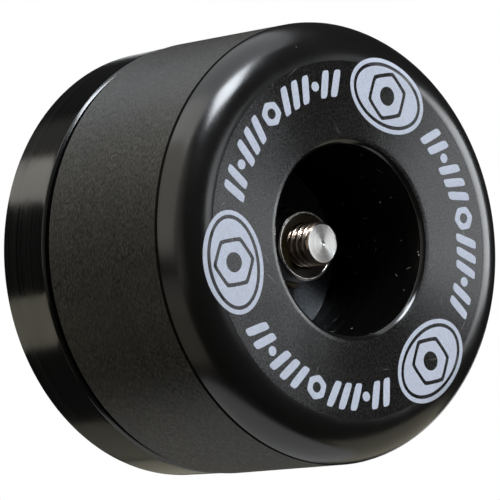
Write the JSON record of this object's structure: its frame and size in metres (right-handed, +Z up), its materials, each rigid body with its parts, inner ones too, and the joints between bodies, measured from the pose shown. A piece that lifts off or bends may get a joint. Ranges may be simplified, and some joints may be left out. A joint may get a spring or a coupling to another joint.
{
  "type": "swingarm protector",
  "caption": "Round swingarm protector: rounded black plastic bobbin on a metal backing ring, with a stud and lock nut sunk in a deep counterbore.",
  "frame": {"origin": "centre of the backing ring's flat back face, on the axis, where the clamping rod leaves the part", "axes": "+Y along the axis of the turned pieces and out of the back; the printed front face looks along -Y; +Z is up, as the part is fitted"},
  "size_m": [0.06, 0.0375, 0.06],
  "materials": {
    "bobbin_plastic": "turned black polyamide, matte on the face and side, satin on the nose",
    "ring_metal": "polished, black anodised",
    "stud_steel": "stainless, turned end",
    "plated_steel": "zinc plated",
    "insert_nylon": "smooth, slightly translucent"
  },
  "bodies": {
    "root": {"bobbin": "bobbin_plastic", "backing_ring": "ring_metal", "threaded_stud": "stud_steel", "front_washer": "plated_steel", "rear_washer": "plated_steel", "lock_nut": "plated_steel", "jam_nut": "plated_steel", "nylon_insert": "insert_nylon"}
  },
  "joints": []
}
